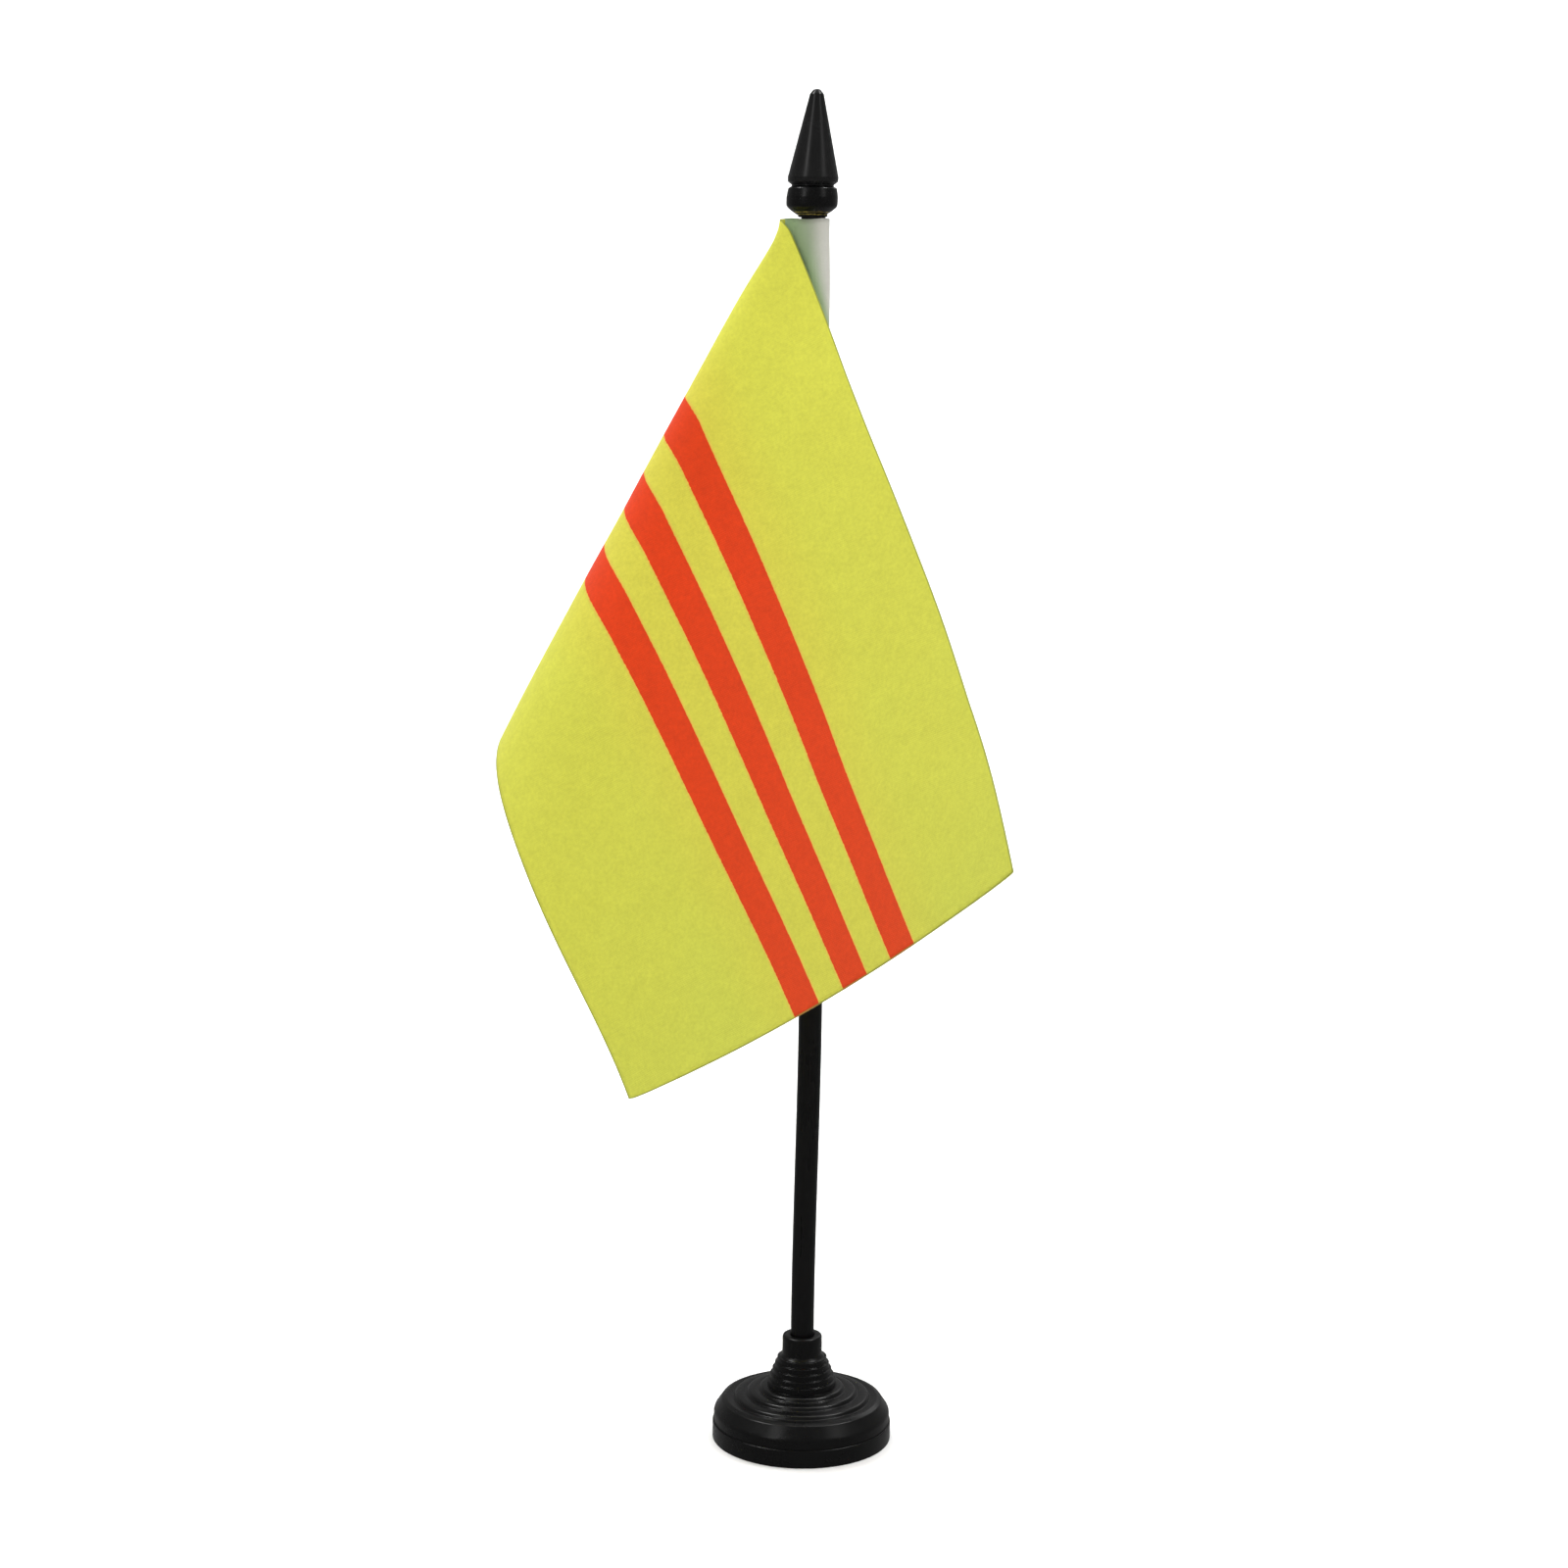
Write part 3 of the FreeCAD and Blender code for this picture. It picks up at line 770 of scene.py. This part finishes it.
def make_sleeve():
    stations, line = sleeve_line()
    heights = np.linspace(0.0, HOIST, SLEEVE_ROWS)
    s, v = np.meshgrid(stations, heights, indexing="ij")
    tangent = np.gradient(line, axis=0)
    tangent /= np.linalg.norm(tangent, axis=1, keepdims=True)
    outward = np.stack([tangent[:, 1], -tangent[:, 0]], -1)
    length = stations[-1]
    round_part = ease(s, TAB_LENGTH, TAB_EASE) * (1 - ease(s, length - TAB_EASE, length - TAB_LENGTH))
    # Diagonal ripples, and a little fullness on the side away from the tab.
    slack = 0.09 * np.sin(v / 4.1 + s * 0.9) + 0.07 * np.sin(v / 9.3 - s * 0.6 + 1.0)
    slack += 0.07 * np.sin(math.pi * s / length) ** 2 * ease(v, 0.0, 9.0)
    plan = line[:, None, :] + outward[:, None, :] * (round_part * slack)[..., None]
    out = np.array(heading(TAB_HEADING))
    side = np.cross((0.0, 0.0, 1.0), out)
    points = plan[..., :1] * out + plan[..., 1:] * side
    points[..., 2] = HOIST_TOP - v + TOP_LIFT * np.exp(-(v / TOP_LIFT_REACH) ** 2)
    points[..., 2] += TOP_CUT_UNEVEN * np.sin(s * 0.8 + 0.5) * (1 - v / HOIST)
    normals = outward[:, None, :1] * out + outward[:, None, 1:] * side + np.zeros_like(points)
    return thick_sheet("sleeve", points, normals, s, v, SLEEVE_THICKNESS)


def make_stitches():
    """Lockstitches down both faces of the tab: short slightly arched threads that dip in at their ends."""
    out = np.array(heading(TAB_HEADING))
    side = np.cross((0.0, 0.0, 1.0), out)
    face = TAB_SLOT / 2 + SLEEVE_THICKNESS
    steps, around = 10, 10
    vertices, faces = [], []
    count = int((HOIST - STITCH_PITCH) / STITCH_PITCH)
    for i in range(count):
        low = HOIST_TOP - HOIST + STITCH_PITCH * (i + STITCH_FIRST)
        for sign in (-1, 1):
            first = len(vertices)
            lean = STITCH_LEAN * math.sin(7.3 * i + sign)
            for step in range(steps + 1):
                t = step / steps
                end = math.sin(math.pi * t)
                radius = STITCH_RADIUS * (0.45 + 0.55 * min(1.0, 4 * end))
                lift = face + STITCH_RADIUS * (-0.9 + 1.75 * min(1.0, 2.2 * end))
                middle = out * (HOIST_REACH - STITCH_INSET + lean * (2 * t - 1)) + side * (sign * lift)
                middle = middle + np.array((0.0, 0.0, low + STITCH_LENGTH * t))
                for k in range(around):
                    angle = 2 * math.pi * k / around
                    ring = out * (radius * math.cos(angle)) + side * (radius * math.sin(angle))
                    vertices.append((middle + ring) * MM)
            for step in range(steps):
                for k in range(around):
                    a = first + step * around + k
                    b = first + step * around + (k + 1) % around
                    faces.append((a, b, b + around, a + around))
            faces.append(tuple(first + k for k in reversed(range(around))))
            faces.append(tuple(first + steps * around + k for k in range(around)))
    return new_object("stitches", vertices, faces)


# ---------------------------------------------------------------- turned and moulded pieces

NEARLY_STRAIGHT = 1.5            # radians: half the angle of a corner that needs no rounding
FILLET_SHARE = 0.48              # a fillet takes at most this share of the line on either side
FACE_AREA_WEIGHT = 80


def softened(corners, steps=6):
    """A (radius, height) line whose corners, given as (radius, height, fillet), are rounded."""
    line = []
    count = len(corners)
    for i, (r, z, fillet) in enumerate(corners):
        here = np.array((r, z))
        before = np.array(corners[i - 1][:2]) - here
        after = np.array(corners[(i + 1) % count][:2]) - here
        if fillet <= 0:
            line.append((r, z))
            continue
        reach_before, reach_after = np.linalg.norm(before), np.linalg.norm(after)
        before, after = before / reach_before, after / reach_after
        half = math.acos(max(-1.0, min(1.0, float(before @ after)))) / 2
        if half > NEARLY_STRAIGHT:
            line.append((r, z))
            continue
        back = min(fillet / math.tan(half), FILLET_SHARE * reach_before, FILLET_SHARE * reach_after)
        for k in range(steps + 1):
            t = k / steps
            point = here + before * back * (1 - t) ** 2 + after * back * t ** 2
            line.append((max(float(point[0]), 0.0), float(point[1])))
    return line


def turned(name, corners, segments=192):
    """A closed body turned about the pole's axis. Its corners go all the way round the half section."""
    line = softened(corners)
    vertices, rings = [], []
    for r, z in line:
        if r < 1e-6:
            rings.append([len(vertices)])
            vertices.append((0.0, 0.0, z * MM))
            continue
        rings.append(list(range(len(vertices), len(vertices) + segments)))
        for k in range(segments):
            angle = 2 * math.pi * k / segments
            vertices.append((r * MM * math.cos(angle), r * MM * math.sin(angle), z * MM))
    faces = []
    for lower, upper in zip(rings, rings[1:] + rings[:1]):
        if len(lower) == 1 and len(upper) == 1:
            continue
        for k in range(segments):
            n = (k + 1) % segments
            if len(lower) == 1:
                faces.append((lower[0], upper[n], upper[k]))
            elif len(upper) == 1:
                faces.append((lower[k], lower[n], upper[0]))
            else:
                faces.append((lower[k], lower[n], upper[n], upper[k]))
    made = new_object(name, vertices, faces)
    even = made.modifiers.new("even_shading", "WEIGHTED_NORMAL")
    even.weight = FACE_AREA_WEIGHT
    return made


def make_cover():
    lip = WALL_RADIUS - SHELL_WALL - COVER_FIT
    lip_inside = lip - COVER_LIP_WALL
    return turned("cover", [
        (0, 0, 0),
        (BASE_RADIUS, 0, FOOT_FILLET),
        (BASE_RADIUS, PARTING, LEDGE_FILLET),
        (lip, PARTING, FINE_FILLET),
        (lip, COVER_LIP_TOP, EDGE_FILLET),
        (lip_inside, COVER_LIP_TOP, EDGE_FILLET),
        (lip_inside, COVER_FLOOR, COVER_FLOOR_FILLET),
        (0, COVER_FLOOR, 0),
    ])


def dome_corners(height):
    """The dome's soft rings, each a riser, a rounded nose and a tread, and the height where they end."""
    corners = []
    radius = RING_RADIUS
    for _ in range(RING_COUNT):
        corners.append((radius + RISER_FOOT_OUT, height - RISER_FOOT_DROP, RISER_FOOT_FILLET))
        height += RING_RISE
        corners.append((radius + RING_NOSE_OUT, height - RING_NOSE_DROP, RING_NOSE_FILLET))
        radius -= RING_PITCH
        height += TREAD_RISE
        corners.append((radius + TREAD_END_OUT, height + TREAD_END_LIFT, TREAD_END_FILLET))
    return corners, height


def neck_corners(height):
    """The neck's crisp rings, and the height where they end."""
    corners = []
    radius = NECK_RADIUS
    rise = NECK_FIRST_RISE
    foot_fillet = NECK_ROOT_FILLET
    for _ in range(NECK_STEPS):
        corners.append((radius + NECK_FOOT_OUT, height, foot_fillet))
        height += rise
        corners.append((radius + NECK_NOSE_OUT, height, NECK_NOSE_FILLET))
        radius -= NECK_PITCH
        height += NECK_TREAD_RISE
        rise = NECK_RISE
        foot_fillet = NECK_FOOT_FILLET
    return corners, height


def make_shell():
    inside = WALL_RADIUS - SHELL_WALL
    foot = PARTING + PARTING_GAP
    dome, dome_top = dome_corners(SHOULDER_HEIGHT)
    neck, neck_top = neck_corners(dome_top)
    return turned("shell", [
        (WALL_RADIUS, foot, WALL_FOOT_FILLET),
        *SHOULDER_CORNERS,
        *dome,
        *neck,
        (COLLAR_RADIUS + COLLAR_FLARE, neck_top, EDGE_FILLET),
        (COLLAR_RADIUS + COLLAR_TAPER, neck_top + COLLAR_FLARE_HEIGHT, COLLAR_FLARE_FILLET),
        (COLLAR_RADIUS, BASE_HEIGHT, COLLAR_TOP_FILLET),
        (SOCKET_RADIUS + SOCKET_CHAMFER, BASE_HEIGHT, SOCKET_FILLET),
        (SOCKET_RADIUS, BASE_HEIGHT - SOCKET_CHAMFER, SOCKET_FILLET),
        (SOCKET_RADIUS, SOCKET_FLOOR, SOCKET_FILLET),
        (0, SOCKET_FLOOR, 0),
        (0, BOSS_FOOT, 0),
        (BOSS_RADIUS, BOSS_FOOT, INNER_EDGE_FILLET),
        *[(radius, height, ROOF_FILLET) for radius, height in ROOF_UNDERSIDE],
        (inside, WALL_INNER_TOP, INNER_EDGE_FILLET),
        (inside, foot, FINE_FILLET),
    ])


def make_ribs():
    """Radial ribs under the shell's roof, which hold the ballast disc down. They end inside the roof."""
    vertices, faces = [], []
    count = len(RIB_OUTLINE)
    for i in range(RIB_COUNT):
        angle = math.radians(RIB_START_ANGLE + 360 / RIB_COUNT * i)
        out = np.array((math.cos(angle), math.sin(angle), 0.0))
        side = np.array((-math.sin(angle), math.cos(angle), 0.0))
        first = len(vertices)
        for half in (-RIB_HALF_THICKNESS, RIB_HALF_THICKNESS):
            for r, z in RIB_OUTLINE:
                vertices.append((out * r + side * half + np.array((0.0, 0.0, z))) * MM)
        faces.append(tuple(first + k for k in range(count)))
        faces.append(tuple(first + count + k for k in reversed(range(count))))
        for k in range(count):
            n = (k + 1) % count
            faces.append((first + n, first + k, first + count + k, first + count + n))
    return new_object("shell_ribs", vertices, faces, smooth=False)


def make_rod():
    top = TOTAL_HEIGHT - FINIAL_BORE - ROD_END_GAP
    length = top - POLE_FOOT
    made = turned("rod", [
        (0, POLE_FOOT, 0),
        (POLE_RADIUS, POLE_FOOT, POLE_END_FILLET),
        *[(POLE_RADIUS, POLE_FOOT + length * i / ROD_STEPS, 0) for i in range(1, ROD_STEPS)],
        (POLE_RADIUS, top, POLE_END_FILLET),
        (0, top, 0),
    ], segments=128)
    for vertex in made.data.vertices:
        z = vertex.co.z / MM
        bow = ROD_BOW * ease(z, ROD_BOW_FOOT, ROD_BOW_MIDDLE) * (1 - ease(z, ROD_BOW_MIDDLE, ROD_BOW_TOP))
        bow += ROD_TIP_LEAN * ease(z, ROD_TIP_LEAN_START, HOIST_TOP)
        vertex.co.x += bow * MM
    return made


def make_spear():
    """The finial leans, but its bore stays straight on the pole."""
    top = TOTAL_HEIGHT
    foot = top - FINIAL_LENGTH
    bore_end = top - FINIAL_BORE
    made = turned("spear", [
        (0, top + TIP_CROWN, 0),
        *[(radius, top - below, fillet) for radius, below, fillet in SPEAR_OUTSIDE],
        (SOCKET_RADIUS + SPEAR_FOOT_WALL, foot, 0.02),
        (SOCKET_RADIUS, foot + SPEAR_FOOT_CHAMFER, 0.03),
        (SOCKET_RADIUS, bore_end, SOCKET_FILLET),
        (0, bore_end, 0),
    ])
    slope = math.tan(math.radians(FINIAL_LEAN))
    for vertex in made.data.vertices:
        outside_bore = vertex.co.xy.length > (SOCKET_RADIUS + 0.06) * MM
        above_bore = vertex.co.z > (bore_end + 1.0) * MM
        if outside_bore or above_bore:
            vertex.co.x += slope * (vertex.co.z - foot * MM) + FINIAL_SHIFT * MM
    return made


# ---------------------------------------------------------------- the object

plastic = black_plastic("black_plastic", dark=7, light=11, gloss=0.15)
rod_plastic = black_plastic("black_rod", dark=11, light=16, gloss=0.085, streak_along_z=True)


def show(piece, material, body, nodes):
    piece.data.materials.append(material)
    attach(piece, body)
    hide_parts(*nodes)
    return piece


cloth = show(make_cloth(), flag_fabric(), "flag", ["flag_cloth"])
sleeve = show(make_sleeve(), sleeve_fabric(), "flag", ["flag_sleeve"])
stitches = show(make_stitches(), thread_material(), "flag", ["seam_thread"])
show(make_cover(), plastic, "base", ["base_cover"])
show(make_shell(), plastic, "base", ["base_shell"])
show(make_ribs(), plastic, "base", [])
show(make_rod(), rod_plastic, "pole", ["pole"])
show(make_spear(), spear_plastic(), "finial", ["finial"])

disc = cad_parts["ballast_disc"]
disc.data.materials.clear()
disc.data.materials.append(ballast_steel())

sleeve_line()[0][-1] * MM


# ---------------------------------------------------------------- camera, floor and light

def make_camera():
    data = bpy.data.cameras.new("camera")
    data.sensor_width = SENSOR_MM
    data.lens = FOCAL_PIXELS / FRAME_PIXELS * SENSOR_MM
    data.clip_start = 0.02
    data.clip_end = 50.0
    camera = bpy.data.objects.new("camera", data)
    bpy.context.scene.collection.objects.link(camera)
    down, roll = math.radians(CAMERA_DOWN), math.radians(CAMERA_ROLL)
    ahead = Vector((0.0, math.cos(down), -math.sin(down)))
    right = Vector((1.0, 0.0, 0.0))
    up = right.cross(ahead)
    across = right * math.cos(roll) + up * math.sin(roll)
    over = up * math.cos(roll) - right * math.sin(roll)
    turn = Matrix((across, over, -ahead)).transposed().to_4x4()
    turn.translation = Vector(CAMERA_AT) * MM
    camera.matrix_world = turn
    bpy.context.scene.camera = camera


def make_backdrop():
    """A floor that curves up into a wall behind the object, in metres."""
    near, far, bend, high, wide = -2.4, 1.7, 0.7, 3.0, 3.2
    line = [(near, 0.0), (far - bend, 0.0)]
    for i in range(1, 17):
        angle = math.radians(90 * i / 16)
        line.append((far - bend + bend * math.sin(angle), bend - bend * math.cos(angle)))
    line.append((far, high))
    vertices, faces = [], []
    for y, z in line:
        vertices += [(-wide, y, z), (wide, y, z)]
    for i in range(len(line) - 1):
        faces.append((2 * i, 2 * i + 1, 2 * i + 3, 2 * i + 2))
    made = new_object("backdrop", vertices, faces)
    made.data.materials.append(backdrop_paper())
    made.visible_glossy = False


def area_light(name, at, towards, size, power, mirrored=True, lighting=True):
    """Places and sizes in metres, power in watts. A light can be kept out of mirrors or out of soft light."""
    data = bpy.data.lights.new(name, "AREA")
    data.shape = "RECTANGLE"
    data.size, data.size_y = size
    data.energy = power
    light = bpy.data.objects.new(name, data)
    light.location = at
    light.visible_glossy = mirrored
    light.visible_diffuse = lighting
    light.rotation_mode = "QUATERNION"
    light.rotation_quaternion = (Vector(towards) - Vector(at)).to_track_quat("-Z", "Y")
    bpy.context.scene.collection.objects.link(light)


OBJECT_MIDDLE = (0, 0, 0.13)
HIGH_SIZE = (0.2, 0.3)

make_camera()
make_backdrop()
area_light("key_left", (-0.95, -1.15, 0.95), OBJECT_MIDDLE, (0.3, 1.1), 5.6, lighting=False)
area_light("soft_left", (-0.7, -1.3, 0.8), OBJECT_MIDDLE, (0.8, 0.8), 2.3, mirrored=False)
area_light("fill_right", (1.15, -0.87, 0.9), OBJECT_MIDDLE, (0.45, 1.0), 3.0)
area_light("front", (0.0, -1.6, 0.9), OBJECT_MIDDLE, (1.6, 0.8), 6.3, mirrored=False)
area_light("top", (0.0, -0.1, 1.7), (0, 0, 0.1), (1.2, 0.9), 7.0, mirrored=False)
area_light("wall", (0.0, 0.25, 1.9), (0, 1.6, 0.4), (2.6, 0.6), 42.0)
area_light("rear", (0.7, 1.35, 1.1), OBJECT_MIDDLE, (0.8, 0.6), 3.0)
area_light("floor_wash", (-0.5, 0.5, 1.2), (-0.02, -0.01, 0), (0.8, 0.5), 4.0, mirrored=False)
area_light("high_left", (-0.75, -0.03, 1.25), (0, 0, 0), HIGH_SIZE, 14.0, lighting=False)
area_light("high_right", (0.75, -0.03, 1.25), (0, 0, 0), HIGH_SIZE, 10.0, lighting=False)

world = bpy.data.worlds.new("studio")
world.use_nodes = True
sky = world.node_tree.nodes["Background"]
sky.inputs["Color"].default_value = (1.0, 1.0, 1.0, 1.0)
sky.inputs["Strength"].default_value = 0.31
bpy.context.scene.world = world
bpy.context.scene.view_settings.view_transform = "Standard"
